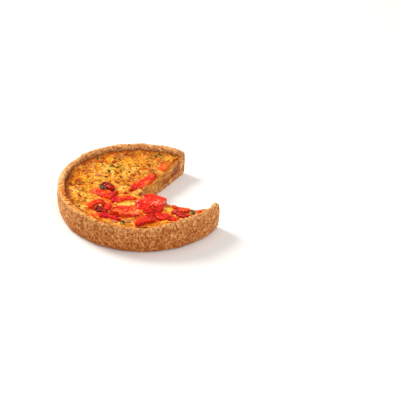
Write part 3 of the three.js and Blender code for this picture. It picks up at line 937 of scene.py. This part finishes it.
def custard_relief(points):
    """Height of the melted top's lumps, strands and pits in millimetres, and a share for its colours that
    makes raised parts lighter and pits darker, as painted shade.
    """
    strands = melted_shreds(points, STRANDS, 4)
    warped = points + 1.6 * noise_moves(points, 4, 50)
    blobs = 0.6 - grains(warped, BLOB_SIZE, 5)
    pits = np.minimum(0, grains(warped, PIT_SIZE, 8) - 0.42)
    swell = rough_noise(points, SWELL_SIZE, 15, octaves=2)
    rough = rough_noise(points, 2.4, 12)
    relief = 0.6 * blobs + 0.4 * strands + 0.7 * pits + 0.35 * rough + 0.7 * swell - 0.2
    return relief, np.clip(0.5 + 0.55 * (0.9 * blobs + 0.45 * strands + 0.9 * pits + 0.5 * swell), 0, 1)


def round_cut_edges(mesh, points, on_top, below_top):
    """Turns the sharp edge between the custard's top and its cuts into a soft one."""
    turned = heading_of(points)
    off_cut = np.clip(np.minimum(turned - BACK_CUT, FRONT_CUT - turned), 0, 90)
    from_cut = distance_of(points) * np.sin(np.radians(off_cut))
    radius = CUT_EDGE_RADIUS * (1 + 0.4 * smooth_noise(points, 4, 67))
    across = np.clip(np.where(on_top, from_cut, below_top) / radius, 0, 1)
    arc = np.radians(45 * np.where(on_top, 1 + across, 1 - across))
    go_in = radius * (1 - np.cos(arc)) - np.where(on_top, from_cut, 0)
    go_down = radius * (1 - np.sin(arc)) - np.where(on_top, 0, below_top)
    inwards = directions(np.clip(turned, BACK_CUT + 90, FRONT_CUT - 90))
    move = np.concatenate([inwards * go_in[:, None], -go_down[:, None]], -1)
    set_points(mesh, points + np.where((across < 1)[:, None], move, 0))


def custard_sweep(headings, reach, edge, shares, heights):
    """The filling with clean faces: bed and side along the crust from below, top from above."""
    wall = soft_path([(BED_INSET, BASE_THICKNESS + GAP), *BED_WALL, LIP[1]], 1.5)
    rim = heights[:, -1][None]
    side = np.minimum(np.repeat(wall[:, 1:2], CUSTARD_STEPS, axis=1), rim - 0.4)
    distance = np.vstack([np.zeros((1, CUSTARD_STEPS)), reach[None, :] - wall[:, 0:1] - GAP, edge[None, :]])
    height = np.vstack([np.full((1, CUSTARD_STEPS), BASE_THICKNESS + GAP), side, rim])
    over = place(headings, shares[:, None] * edge[None, :], heights.T)
    return Sweep(headings, place(headings, distance, height), over, CUSTARD_CUT_STEP)


def mark_custard(mesh, points, on_top, away, from_rim):
    """Marks the top's band by the rim (browning and a painted shadow of the rim), the parts darkened by
    toasting and painted shade, the inner parts and its seen patches, and the cut's crumbly part.
    """
    x, y, up = points.T
    # Width of the brown band by the rim, widened on the left where the rim's shadow falls: browning and
    # painted shadow.
    rim_shade_band = 3.2 + 4.0 * ease(-x, -10, 50)
    wavy_rim = from_rim + 1.2 * smooth_noise(points, 6, 61)
    # Toasting by the rim, kept to the back half and the back right: toasting and painted shade.
    toasted = (1 - ease(from_rim, 5, 24)) * ease(y, -15, 20) + 0.75 * ease(x, -22, -4) * ease(y, 5, 25)
    crumbly_height = np.interp(away, CRUMBLY_AWAY, CRUMBLY_HEIGHT) + 1.2 * smooth_noise(points, 5, 63)
    mark(
        mesh,
        rim=on_top * (1 - ease(wavy_rim, 0.2 * rim_shade_band, rim_shade_band)),
        toasted=on_top * np.clip(toasted, 0, 1),
        centre=on_top * ease(from_rim, 8, 24),
        low=ease(crumbly_height - up, -1.0, 1.5),
        **{kind: on_top * patch_share(points, patches) for kind, patches in SEEN_PATCHES.items()},
    )


def build_custard(crust_headings, crust_reach):
    headings = np.linspace(BACK_CUT, FRONT_CUT, CUSTARD_STEPS)
    reach = np.interp(headings, crust_headings, crust_reach)
    edge = reach - RIM_WIDTH - 0.1
    shares = np.append(0, np.linspace(0.03, 1, 150))
    heights = custard_heights(headings, shares, edge)
    heights[:, 0] = heights[:, 0].mean()
    sweep = custard_sweep(headings, reach, edge, shares, heights)
    mesh, points = sweep.mesh("custard")
    heading_at, away = heading_of(points), distance_of(points)
    from_rim = np.interp(heading_at, headings, edge) - away
    on_top = np.zeros(len(points), bool)
    on_top[sweep.over_ids.ravel()] = True
    only_cut = np.where(on_top, 0, sweep.cut)
    relief, lump = custard_relief(points)
    beside = near_tomatoes(points) * on_top
    top_amount = relief * (1 - 0.5 * beside) + 0.3 * beside - 0.7 * ease(2.2 - from_rim, 0, 2.2)
    cut_top = np.where(
        heading_at < 0.5 * (BACK_CUT + FRONT_CUT),
        np.interp(away, shares * edge[0], heights[0]),
        np.interp(away, shares * edge[-1], heights[-1]),
    )
    below_top = np.where(sweep.cut > 0.5, np.clip(cut_top - points[:, 2], 0, None), FAR_AWAY)
    round_cut_edges(mesh, points, on_top, below_top)
    holes = np.minimum(0, grains(points, HOLE_SIZE, 40) - 0.3) + 0.9 * rough_noise(points, HOLLOW_SIZE, 44)
    above_bed = ease(points[:, 2], BASE_THICKNESS + 0.5, BASE_THICKNESS + 2)
    push_out(mesh, on_top * top_amount * ease(away, 0.5, 4) + only_cut * holes * above_bed)
    cut = only_cut * ease(below_top + 1.5 * smooth_noise(points, 3.2, 66), 0.8, 3.6)
    mark(mesh, lump=np.where(on_top, lump, 0.6), cut=cut, juice=beside)
    mark_custard(mesh, points, on_top, away, from_rim)
    return show(mesh, "custard_baked", custard_material(), "custard", slot="custard")


# Tomato pieces

# Each piece's colour and what isn't usual in it: calm scales its lumps and creases, swell and ridges are in
# millimetres, and the other words say on which sides it has charring with painted shade, paler flesh with
# painted highlights, pink or burn marks. A side has its heading in degrees, where along the piece it starts
# and ends as a share of its half, and its strength
TOMATOES = {
    "arc_front": dict(
        colour="red", swell=-0.3, ridges=0.32, charred_and_shaded=[(297, 0.1, 1, 0.4), (27, 0.2, 0.7, 0.5)]
    ),
    "chip_back": dict(charred_and_shaded=[(27, -0.2, 0.6, 0.35)]),
    "chip_curl": dict(colour="red"),
    "chip_right": dict(colour="red"),
    "chunk_left": dict(swell=0.3, charred_and_shaded=[(27, 0.2, 0.9, 0.7)], pale=[(252, -0.2, 0.8, 0.4)]),
    "core": dict(colour="dark"),
    "curl": dict(swell=0.35, charred_and_shaded=[(27, 0.2, 0.9, 0.8)]),
    "fold": dict(colour="red", calm=0.5, swell=0.6, charred_and_shaded=[(297, 0, 1, 0.5)], pale=[(207, 0.4, 0.9, 0.8)]),
    "patch_front": dict(colour="red", swell=0.3, ridges=0.4, charred_and_shaded=[(207, 0.3, 1.0, 0.5)]),
    "roll_dark": dict(colour="dark", calm=0.4),
    "slab_front": dict(
        swell=0.4, ridges=0.35, charred_and_shaded=[(207, 0.3, 1, 0.6), (297, 0.5, 1.1, 0.4)], pale=[(27, 0, 0.8, 0.8)]
    ),
    "sliver_front": dict(colour="crimson", calm=0.4, swell=-0.3, pink=[(207, -0.8, -0.4, 0.6)]),
    "square": dict(
        colour="red", calm=0.12, swell=0.4, charred_and_shaded=[(252, 0.5, 1.1, 0.3)],
        pale=[(335, 0, 0.7, 1), (207, 0.5, 0.9, 0.7)],
    ),
    "strip_back": dict(
        swell=0.35, charred_and_shaded=[(252, 0.1, 0.9, 0.6), (72, 0.7, 0.9, 1)], burnt=[(62, 0.82, 0.92, 1)]
    ),
    "strip_cut": dict(charred_and_shaded=[(297, 0.2, 1.0, 0.5), (207, -0.3, 0.5, 0.6)]),
    "strip_cut_dark": dict(colour="crimson", calm=0.4, swell=0.4),
    "strip_middle": dict(swell=0.3, ridges=0.35, pink=[(207, 0.25, 0.45, 1.0)]),
}
SIDE_KINDS = ("charred_and_shaded", "pale", "pink", "burnt")
USUAL_RIDGES = 0.2

# How far the roasted pieces have sunk, and the fineness of their meshes and the leaves', in millimetres
SETTLED = 0.8
TOMATO_FINENESS = 0.36
LEAF_FINENESS = 0.25

# Sizes of lumps, creases and ridges along a piece, across it and upwards, in millimetres
LUMP_SIZE = (5.5, 3.6, 5)
SMALL_LUMP_SIZE = (2.6, 1.9, 2.4)
CREASE_SIZE = (7, 3.0, 4)
RIDGE_SIZE = (8, 1.3, 3)


def side_share(sides, flat):
    """How far each place of a piece lies towards the given sides, 0 to their strength."""
    share = np.zeros(len(flat))
    for heading, start, end, most in sides:
        along = flat @ directions(heading)
        along /= np.abs(along).max()
        share = np.maximum(share, most * ease(along, start, end))
    return share


def build_tomato(name, looks, material, seed):
    mesh = fine_copy(name, TOMATO_FINENESS, 3)
    points = points_of(mesh)
    middle = points.mean(0)
    flat = points[:, :2] - middle[:2]
    _, axes = np.linalg.eigh(np.cov(flat.T))
    local = np.stack([flat @ axes[:, 1], flat @ axes[:, 0], points[:, 2] - middle[2]], -1)
    calm = looks.get("calm", 1.0)
    lumps = 0.6 * rough_noise(local, LUMP_SIZE, seed) + 0.5 * rough_noise(local, SMALL_LUMP_SIZE, seed + 1)
    creases = 1 - np.abs(smooth_noise(local + 2 * lumps[:, None], CREASE_SIZE, seed + 3)) * 3.2
    creases = np.clip(creases, 0, 1) ** 2
    ridges = looks.get("ridges", USUAL_RIDGES) * smooth_noise(local, RIDGE_SIZE, seed + 5)
    amount = calm * (1.1 * lumps - 0.7 * creases) + ridges * min(1.0, 2 * calm) + looks.get("swell", 0)
    # side: 1 on a piece's steep sides, which the material darkens as painted shade
    mark(mesh, side=1 - ease(read(mesh, "normal")[:, 2], 0.2, 0.8))
    mark(mesh, **{kind: side_share(looks.get(kind, ()), flat) for kind in SIDE_KINDS})
    push_out(mesh, amount)
    # fold: high on lumps and ridges, low in creases; the material darkens creases and lightens lumps with it
    # as painted shade
    mark(mesh, fold=np.clip(0.55 + 0.9 * lumps - 0.45 * creases * calm + 1.25 * ridges, 0, 1))
    mesh.transform(Matrix.Translation((0, 0, -SETTLED * MM)))
    slot = "dark_tomato" if looks.get("colour") in ("dark", "crimson") else "tomato"
    show(mesh, name + "_roasted", material, name, slot=slot)


def build_tomatoes():
    materials = {
        "orange": tomato_material("tomato_orange", (204, 18, 1), (242, 52, 5), (255, 120, 34), 0.24),
        "red": tomato_material("tomato_red", (172, 3, 1), (236, 18, 1), (252, 46, 6), 0.18),
        "dark": tomato_material("tomato_dark", (64, 0, 1), (126, 0, 3), (180, 4, 6), 0.14),
        "crimson": tomato_material("tomato_crimson", (122, 1, 2), (184, 6, 6), (228, 40, 26), 0.2, coat=0.08),
    }
    for number, name in enumerate(tomato_nodes()):
        looks = TOMATOES.get(name.removeprefix("tomato_"), {})
        build_tomato(name, looks, materials[looks.get("colour", "orange")], 100 + 7 * number)


def build_leaves():
    material = leaf_material()
    for name in sorted(n for n in NODES if n.startswith("leaf")):
        mesh = fine_copy(name, LEAF_FINENESS, 1)
        points = points_of(mesh)
        set_points(mesh, points + 0.8 * noise_moves(points, (2.2, 2.2, 9), 80))
        show(mesh, name + "_baked", material, name, slot="leaf")


# Flecks of herb, onion and browned cheese on the custard

# Flecks seen in the photograph: both ends in its pixels, read off it, and the width in millimetres
SEEN_HERBS = [
    (66, 180, 70, 175, 1.8), (97, 160, 98.5, 156, 1.8), (70.5, 183, 70.5, 185.5, 1.4),
    (112, 165, 116, 168, 1), (115.5, 168, 122.5, 165, 1), (109, 169.5, 109, 172.5, 2.4),
    (105, 177.5, 107.5, 176.5, 2), (120, 175.5, 121.5, 178, 1.6), (109.5, 166.5, 112, 166, 1.4),
    (85.5, 191, 86.5, 193, 1.2), (83, 183, 85, 182.5, 1), (78.5, 182, 80.5, 183.5, 1.2),
    (125.5, 183.5, 129.5, 186.5, 1.4), (118, 150.5, 120, 151.5, 1.8), (119, 159, 120.5, 161, 1.2),
    (157.5, 154.5, 162, 155.5, 2.2), (154.5, 157, 157, 156, 2.6), (148.5, 167, 150, 165, 1.6),
    (148.5, 164, 150, 165, 1.2), (136, 166, 139, 166.5, 1.2), (129, 171.5, 129.5, 172.5, 1.2),
    (171, 155, 173, 157, 1.2),
]
SEEN_DARK_SPOTS = [
    (101, 158, 104.5, 158.5, 2.6), (112.5, 161.5, 118, 161.5, 3.2), (123.5, 154, 128, 155.5, 2.6),
    (80.5, 164, 85.5, 164.5, 2.6), (114.5, 170.5, 117, 173, 1.8), (116, 173, 119, 172.5, 1.6),
    (115, 181.5, 119.5, 183, 3.4), (77, 184, 80.5, 185, 2), (74.5, 187, 77.5, 186, 1.8),
    (91, 182.5, 93, 184, 2), (78, 194.5, 81.5, 197, 2.4), (100, 162.5, 104, 161.5, 1.4),
    (67, 190.5, 68.5, 194.5, 2.4), (174, 160.5, 179, 162.5, 1.6), (132, 174, 135, 176, 1.8),
    (138.5, 178, 140, 179, 1.4), (125.5, 192.5, 129, 194, 2), (152.5, 169, 153.5, 170, 1.4),
    (129, 155, 133, 154.5, 1.8), (84, 197.5, 88, 199, 1.8),
]
SEEN_ONIONS = [
    (84.5, 170.5, 88.5, 171, 2.2), (97, 174.5, 101.5, 175.5, 3), (106, 172.5, 108.5, 173.5, 2),
    (118, 157.5, 124, 156.5, 2.4), (76, 187.5, 78, 189.5, 2), (111.5, 221, 117.5, 222.5, 3.6),
    (127, 221, 130, 222.5, 3.8),
]

# Tomato scraps and bubbles of filling: x, y, heading in degrees, length and width, in millimetres
SEEN_SCRAPS = [
    (-11.4, -50.1, 40, 6, 4), (-7.3, -48.7, 20, 6, 4.4), (-0.3, -47.3, 30, 7, 4), (5, -49, 30, 6, 4),
    (23, -31.6, 20, 6, 4), (27, -29.4, 30, 8, 4), (31.5, -27.6, 20, 7, 4), (29.6, -34, 60, 7, 4.6),
    (-9.8, -11.6, 20, 3.2, 2.2), (-17, -22, 30, 4, 3), (34.8, -33, 20, 4.6, 3.4), (46, -33.5, 20, 6, 3.4),
    (-15.6, -42.5, 40, 6, 4), (-34, -12, 40, 3.4, 2.4), (21.5, -30.6, 40, 6, 3.4),
    (25.4, -27.4, 45, 6, 3.4), (44.4, -22.6, 45, 5, 3), (29.6, -32.7, 30, 7, 4.4),
    (34.7, -31.5, 20, 6, 3.6), (28.2, -37.8, 60, 5, 3.4), (47.3, -34.9, 30, 5, 3.2),
]
SEEN_BUBBLES = [
    (-15, -43.2, 20, 3.6, 3.2), (-7, -32.2, 20, 3.6, 2.4), (-1.6, -7, 20, 6, 5), (0.2, -3.4, 70, 6, 4.4),
    (-4.4, -4.2, 40, 4.6, 3.6),
]

# A fleck's edge has this many corners, and its underside lies this deep in the filling, in millimetres
FLECK_TURNS = 10
FLECK_SUNK = 0.15

# Height of the filling where it can't be seen and under flecks that reach past it, and how far out the
# scattered flecks lie, in millimetres
FILLING_EDGE = 20.0
FILLING_LOW = 17
SCATTER_REACH = 63.5


def clear_places(count, seed, far_from_tomatoes):
    """Places on the custard, clear of the cuts, the rim and the tomato pieces."""
    dice = np.random.default_rng(seed)
    found = []
    corners = [points_of(NODES[name].data)[:, :2] for name in tomato_nodes()]
    while len(found) < count:
        angle, radius = dice.uniform(0, 2 * np.pi), SCATTER_REACH * np.sqrt(dice.uniform())
        spot = radius * np.array([np.cos(angle), np.sin(angle)])
        if not BACK_CUT + 3 < heading_of(spot[None])[0] < FRONT_CUT - 3:
            continue
        if all(np.linalg.norm(edge - spot, axis=1).min() > far_from_tomatoes for edge in corners):
            found.append(spot)
    return found


def random_flecks(count, seed, length, width, clear=1.0):
    dice = np.random.default_rng(seed)
    return [
        (*spot, dice.uniform(0, 180), dice.uniform(*length), dice.uniform(*width))
        for spot in clear_places(count, seed + 1, clear)
    ]


def fleck(dice, spot, turned, length, width, thick, curl):
    """Points above the surface and faces of one torn fleck: two domed skins with an uneven shared edge."""
    turns = np.linspace(0, 2 * np.pi, FLECK_TURNS, endpoint=False)
    ragged = 1 + dice.uniform(-0.28, 0.28, FLECK_TURNS)
    points = [[(0.0, 0.0, thick)]]
    for share, level in ((0.55, thick * 0.9), (1.0, thick * 0.4), (0.6, -FLECK_SUNK)):
        lifted = curl * share * share * (0.5 + 0.5 * np.cos(2 * turns + spot[0]))
        ahead = 0.5 * length * share * ragged * np.cos(turns)
        aside = 0.5 * width * share * ragged * np.sin(turns)
        points.append(np.stack([ahead, aside, level + lifted], -1))
    points.append([(0.0, 0.0, -FLECK_SUNK)])
    ahead, aside, up = np.vstack(points).T
    way = np.radians(turned)
    x = spot[0] + ahead * np.cos(way) - aside * np.sin(way)
    y = spot[1] + ahead * np.sin(way) + aside * np.cos(way)
    rings = np.arange(1, len(up) - 1).reshape(-1, FLECK_TURNS)
    ids = np.vstack([np.full(FLECK_TURNS, 0), rings, np.full(FLECK_TURNS, len(up) - 1)])
    return np.stack([x, y, up], -1), skin(np.hstack([ids, ids[:, :1]]), True)


def seen_point(ground, x, y):
    """Where the photograph's camera sees the filling at a pixel, in millimetres."""
    turn, place = photo_camera()
    wide = PHOTO_SENSOR / PHOTO_LENS
    ray = turn @ Vector(((x / PHOTO_PIXELS - 0.5) * wide, (0.5 - y / PHOTO_PIXELS) * wide, -1))
    hit = ground.ray_cast(place, ray.normalized())[0]
    if hit is None:
        hit = place + ray * ((FILLING_EDGE * MM - place.z) / ray.z)
    return np.array(hit[:2]) / MM


def seen_flecks(ground, ends):
    """Places, headings, lengths and widths of flecks given by their ends in the photograph."""
    found = []
    for x0, y0, x1, y1, width in ends:
        a, b = seen_point(ground, x0, y0), seen_point(ground, x1, y1)
        turned = math.degrees(math.atan2(*(b - a)[::-1]))
        found.append((*(0.5 * (a + b)), turned, float(np.hypot(*(b - a))) + 0.3 * width, width))
    return found


def build_flecks(name, ground, places, thick, curl, material, slot, seed):
    """One mesh of flecks that follow the ground below them."""
    dice = np.random.default_rng(seed)
    all_points, all_faces = [], []
    start = 0
    for x, y, turned, length, width in places:
        points, faces = fleck(dice, (x, y), turned, length, width, thick, curl)
        for point in points:
            hit = ground.ray_cast(Vector((point[0], point[1], RAY_ABOVE)) * MM, Vector((0, 0, -1)))
            point[2] += hit[0].z / MM if hit[0] is not None else FILLING_LOW
        all_points.append(points)
        all_faces += [tuple(start + i for i in face) for face in faces]
        start += len(points)
    show(new_mesh(name, np.vstack(all_points), all_faces), name, material, slot=slot)


def cut_edge_lumps(count, seed):
    """Lumps of filling that bulge along the back cut's top edge, from the wedge's point outwards."""
    dice = np.random.default_rng(seed)
    way = directions(BACK_CUT)
    aside = np.array([-way[1], way[0]])
    lumps = []
    for away in np.linspace(1.5, 14, count):
        spot = WEDGE_POINT + way * away + aside * dice.uniform(0.5, 1.3)
        turned = BACK_CUT + dice.uniform(-30, 30)
        lumps.append((*spot, turned, dice.uniform(3.4, 5.2), dice.uniform(2.6, 3.6)))
    return lumps


def build_all_flecks(custard):
    ground = tree_of(custard)
    herbs = seen_flecks(ground, SEEN_HERBS) + random_flecks(24, 11, (1.6, 3.4), (0.9, 1.6))
    spots = seen_flecks(ground, SEEN_DARK_SPOTS) + random_flecks(16, 21, (1.4, 3.0), (0.8, 1.6))
    onions = seen_flecks(ground, SEEN_ONIONS) + random_flecks(7, 31, (2.6, 4.2), (1.4, 2.2))
    bubbles = SEEN_BUBBLES + cut_edge_lumps(5, 51)
    crumbs = random_flecks(16, 41, (1.4, 3.0), (1.0, 1.8), 0.6)
    herb = ("herb_green", (22, 22, 2), (104, 98, 20), 1.6, 0.5)
    brown = ("cheese_browned", (124, 26, 3), (184, 78, 14), 1.6, 0.5)
    onion = ("onion_pink", (166, 74, 52), (224, 142, 98), 2.4, 0.4)
    scrap = ("tomato_scrap", (150, 6, 2), (228, 36, 8), 3.0, 0.3)
    egg = ("custard_bubble", (228, 138, 26), (255, 208, 100), 2.0, 0.35)
    crumb = ("tomato_crumb", (178, 24, 2), (240, 92, 20), 1.8, 0.35)
    for name, places, thick, curl, looks, slot, seed in (
        ("herb_shreds", herbs, 0.35, 0.5, herb, "leaf", 1),
        ("browned_spots", spots, 0.25, 0.1, brown, "custard", 2),
        ("onion_bits", onions, 0.45, 0.2, onion, "custard", 3),
        ("tomato_scraps", SEEN_SCRAPS, 1.5, 0.2, scrap, "tomato", 5),
        ("custard_bubbles", bubbles, 1.9, 0.0, egg, "custard", 6),
        ("tomato_crumbs", crumbs, 0.4, 0.1, crumb, "tomato", 4),
    ):
        build_flecks(name, ground, places, thick, curl, plain_material(*looks), slot, seed)


# Floor, light and camera

# Half the floor's width, and how far it lies under the part, in metres
FLOOR_HALF = 6.0
FLOOR_BELOW = 0.0001


def add_floor():
    corners = [(x * FLOOR_HALF, y * FLOOR_HALF, 0) for x, y in ((-1, -1), (1, -1), (1, 1), (-1, 1))]
    mesh = bpy.data.meshes.new("floor")
    mesh.from_pydata(corners, [], [(0, 1, 2, 3)])
    mesh.materials.append(plain_material("floor_pale", (242, 240, 238), (246, 244, 242), 400, 0.9))
    floor = new_object("floor", mesh)
    floor.location.z = -FLOOR_BELOW


def add_light(name, place_mm, size_m, power, colour):
    data = bpy.data.lights.new(name, "AREA")
    data.shape = "DISK"
    data.size = size_m
    data.energy = power
    data.color = colour
    lamp = new_object(name, data)
    lamp.location = Vector(place_mm) * MM
    lamp.rotation_euler = (-lamp.location).to_track_quat("-Z", "Y").to_euler()


def add_world():
    world = bpy.data.worlds.new("studio")
    world.use_nodes = True
    sky = world.node_tree.nodes["Background"]
    sky.inputs["Color"].default_value = (1, 0.99, 0.975, 1)
    sky.inputs["Strength"].default_value = 0.38
    bpy.context.scene.world = world


def photo_camera():
    """Turn of the photograph's camera and its place, in metres."""
    azimuth, elevation = math.radians(PHOTO_AZIMUTH), math.radians(PHOTO_ELEVATION)
    x, y = -math.sin(azimuth) * math.cos(elevation), math.cos(azimuth) * math.cos(elevation)
    forward = Vector((x, y, -math.sin(elevation)))
    turn = forward.to_track_quat("-Z", "Y") @ Quaternion((0, 0, 1), math.radians(PHOTO_ROLL))
    return turn, Vector(PHOTO_MIDDLE * MM) - forward * PHOTO_DISTANCE * MM


def add_camera():
    data = bpy.data.cameras.new("camera")
    data.lens = PHOTO_LENS
    data.sensor_width = PHOTO_SENSOR
    data.clip_start, data.clip_end = 0.05, 20
    camera = new_object("camera", data)
    camera.rotation_mode = "QUATERNION"
    camera.rotation_quaternion, camera.location = photo_camera()
    bpy.context.scene.camera = camera


custard = build_custard(*build_crust())
build_all_flecks(custard)
build_tomatoes()
build_leaves()
add_floor()
add_world()
add_light("key", (-860, 160, 760), 0.55, 13, (1.0, 0.97, 0.92))
add_light("fill", (900, -560, 760), 1.2, 5.5, (1.0, 0.98, 0.96))
add_light("top", (120, 160, 1300), 1.2, 5.5, (1.0, 0.98, 0.95))
add_camera()
bpy.context.scene.view_settings.view_transform = "Standard"
